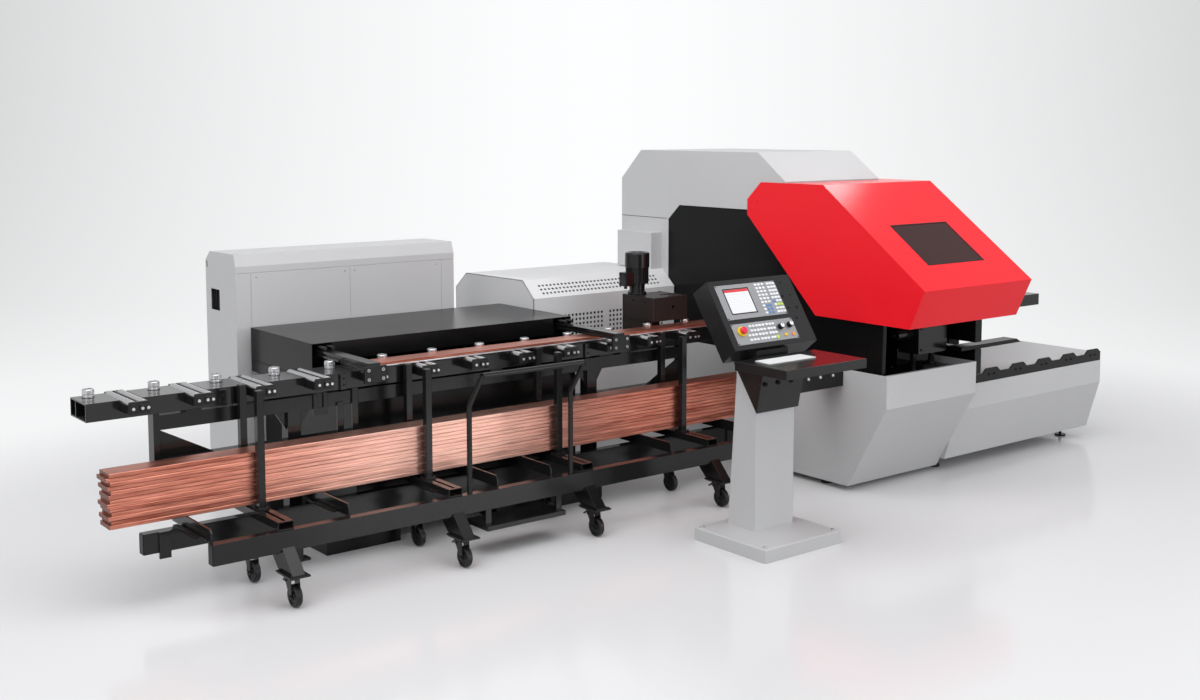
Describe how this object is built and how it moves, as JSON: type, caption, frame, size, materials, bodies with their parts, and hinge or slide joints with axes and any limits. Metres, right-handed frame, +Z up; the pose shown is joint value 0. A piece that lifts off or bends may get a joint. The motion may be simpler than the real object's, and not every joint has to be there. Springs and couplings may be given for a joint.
{
  "type": "busbar processing machine",
  "caption": "Busbar processing line: bar trolley, roller feed beam with transfer arms, press under a hinged guard hood, outfeed and operator console.",
  "frame": {"origin": "middle of the footprint, on the floor", "axes": "+X along the line from infeed to outfeed, +Y to the back of the machine, +Z up"},
  "size_m": [7.13, 3.346, 2.08],
  "materials": {
    "black": "satin",
    "steel": "turned",
    "copper": "drawn copper",
    "grey": "fine texture",
    "umber": "satin",
    "red": "gloss",
    "pane": "tinted polycarbonate",
    "black_plastic": "matt",
    "charcoal": "satin",
    "silver": "anodised",
    "yellow": "gloss",
    "red_plastic": "gloss",
    "green": "gloss",
    "amber": "gloss",
    "orange": "gloss",
    "tyre": "smooth tread"
  },
  "bodies": {
    "line": {"infeed_beam": "black", "guide_pins": "steel", "roller_blocks": "black", "support_rollers": "steel", "unit_bolts": "steel", "infeed_bar": "copper", "beam_stand": "black", "base_cabinet": "black", "loader_cover": "black", "electric_cabinet": "grey", "power_unit_cover": "grey", "press_frame": "black", "press_housing": "grey", "base_skirt": "grey", "skirt_bracket": "black", "drive_motor": "black", "gearbox": "umber", "die_set": "black", "outfeed_base": "grey", "outfeed_top": "grey", "toothed_strip": "black_plastic", "discharge_beam": "black", "levelling_feet": "black_plastic", "console_stand": "grey", "console_bracket": "charcoal", "console_shelf": "charcoal", "console_housing": "charcoal", "display_panel": "silver", "key_panel": "silver", "stop_collar": "yellow"},
    "hood": {"guard_hood": "red", "hood_window": "pane"},
    "arm_left": {"transfer_arm_left": "black"},
    "arm_right": {"transfer_arm_right": "black"},
    "punch": {"punch_head": "black"},
    "stop_button": {"emergency_stop": "red_plastic"},
    "feed_dial": {"feed_knob": "black_plastic"},
    "spindle_dial": {"spindle_knob": "black_plastic"},
    "start_key": {"start_button": "green"},
    "hold_key": {"hold_button": "amber"},
    "reset_key": {"reset_button": "orange"},
    "trolley": {"trolley_frame": "black", "trolley_posts": "black", "bar_stack": "copper"},
    "fork_1": {"caster_fork_1": "black"},
    "wheel_1": {"caster_wheel_1": "tyre"},
    "fork_2": {"caster_fork_2": "black"},
    "wheel_2": {"caster_wheel_2": "tyre"},
    "fork_3": {"caster_fork_3": "black"},
    "wheel_3": {"caster_wheel_3": "tyre"},
    "fork_4": {"caster_fork_4": "black"},
    "wheel_4": {"caster_wheel_4": "tyre"},
    "fork_5": {"caster_fork_5": "black"},
    "wheel_5": {"caster_wheel_5": "tyre"},
    "fork_6": {"caster_fork_6": "black"},
    "wheel_6": {"caster_wheel_6": "tyre"},
    "fork_7": {"caster_fork_7": "black"},
    "wheel_7": {"caster_wheel_7": "tyre"},
    "fork_8": {"caster_fork_8": "black"},
    "wheel_8": {"caster_wheel_8": "tyre"}
  },
  "joints": [
    {"name": "trolley_roll_in", "type": "slide", "parent": "line", "child": "trolley", "axis": [0, 1, 0], "range_m": [-0.3, 0]},
    {"name": "hood_hinge", "type": "hinge", "parent": "line", "child": "hood", "pos_m": [1.277, -0.061, 1.738], "axis": [-1, 0, 0], "range_deg": [0, 40]},
    {"name": "arm_left_slide", "type": "slide", "parent": "line", "child": "arm_left", "axis": [0, 1, 0], "range_m": [-0.15, 0.05]},
    {"name": "arm_right_slide", "type": "slide", "parent": "line", "child": "arm_right", "axis": [0, 1, 0], "range_m": [-0.15, 0.05]},
    {"name": "punch_stroke", "type": "slide", "parent": "line", "child": "punch", "axis": [0, 0, 1], "range_m": [-0.06, 0]},
    {"name": "stop_press", "type": "slide", "parent": "line", "child": "stop_button", "axis": [0, -0.8324, 0.5541], "range_m": [-0.006, 0], "stiffness_N_per_m": 600, "springref_m": 0.0005},
    {"name": "feed_turn", "type": "hinge", "parent": "line", "child": "feed_dial", "pos_m": [-0.209, -1.24869, 1.16611], "axis": [0, -0.8324, 0.5541], "range_deg": [-135, 135]},
    {"name": "spindle_turn", "type": "hinge", "parent": "line", "child": "spindle_dial", "pos_m": [-0.136, -1.24592, 1.17027], "axis": [0, -0.8324, 0.5541], "range_deg": [-135, 135]},
    {"name": "start_press", "type": "slide", "parent": "line", "child": "start_key", "axis": [0, -0.8324, 0.5541], "range_m": [-0.003, 0], "stiffness_N_per_m": 400, "springref_m": 0.0005},
    {"name": "hold_press", "type": "slide", "parent": "line", "child": "hold_key", "axis": [0, -0.8324, 0.5541], "range_m": [-0.003, 0], "stiffness_N_per_m": 400, "springref_m": 0.0005},
    {"name": "reset_press", "type": "slide", "parent": "line", "child": "reset_key", "axis": [0, -0.8324, 0.5541], "range_m": [-0.003, 0], "stiffness_N_per_m": 400, "springref_m": 0.0005},
    {"name": "fork_1_swivel", "type": "hinge", "parent": "trolley", "child": "fork_1", "pos_m": [-2.815, -0.602, 0.145], "axis": [0, 0, 1], "continuous": true},
    {"name": "wheel_1_spin", "type": "hinge", "parent": "fork_1", "child": "wheel_1", "pos_m": [-2.815, -0.638, 0.055], "axis": [1, 0, 0], "continuous": true},
    {"name": "fork_2_swivel", "type": "hinge", "parent": "trolley", "child": "fork_2", "pos_m": [-2.815, -0.145, 0.145], "axis": [0, 0, 1], "continuous": true},
    {"name": "wheel_2_spin", "type": "hinge", "parent": "fork_2", "child": "wheel_2", "pos_m": [-2.815, -0.181, 0.055], "axis": [1, 0, 0], "continuous": true},
    {"name": "fork_3_swivel", "type": "hinge", "parent": "trolley", "child": "fork_3", "pos_m": [-1.869, -0.602, 0.145], "axis": [0, 0, 1], "continuous": true},
    {"name": "wheel_3_spin", "type": "hinge", "parent": "fork_3", "child": "wheel_3", "pos_m": [-1.869, -0.638, 0.055], "axis": [1, 0, 0], "continuous": true},
    {"name": "fork_4_swivel", "type": "hinge", "parent": "trolley", "child": "fork_4", "pos_m": [-1.869, -0.145, 0.145], "axis": [0, 0, 1], "continuous": true},
    {"name": "wheel_4_spin", "type": "hinge", "parent": "fork_4", "child": "wheel_4", "pos_m": [-1.869, -0.181, 0.055], "axis": [1, 0, 0], "continuous": true},
    {"name": "fork_5_swivel", "type": "hinge", "parent": "trolley", "child": "fork_5", "pos_m": [-1.009, -0.602, 0.145], "axis": [0, 0, 1], "continuous": true},
    {"name": "wheel_5_spin", "type": "hinge", "parent": "fork_5", "child": "wheel_5", "pos_m": [-1.009, -0.638, 0.055], "axis": [1, 0, 0], "continuous": true},
    {"name": "fork_6_swivel", "type": "hinge", "parent": "trolley", "child": "fork_6", "pos_m": [-1.009, -0.145, 0.145], "axis": [0, 0, 1], "continuous": true},
    {"name": "wheel_6_spin", "type": "hinge", "parent": "fork_6", "child": "wheel_6", "pos_m": [-1.009, -0.181, 0.055], "axis": [1, 0, 0], "continuous": true},
    {"name": "fork_7_swivel", "type": "hinge", "parent": "trolley", "child": "fork_7", "pos_m": [-0.063, -0.602, 0.145], "axis": [0, 0, 1], "continuous": true},
    {"name": "wheel_7_spin", "type": "hinge", "parent": "fork_7", "child": "wheel_7", "pos_m": [-0.063, -0.638, 0.055], "axis": [1, 0, 0], "continuous": true},
    {"name": "fork_8_swivel", "type": "hinge", "parent": "trolley", "child": "fork_8", "pos_m": [-0.063, -0.145, 0.145], "axis": [0, 0, 1], "continuous": true},
    {"name": "wheel_8_spin", "type": "hinge", "parent": "fork_8", "child": "wheel_8", "pos_m": [-0.063, -0.181, 0.055], "axis": [1, 0, 0], "continuous": true}
  ]
}
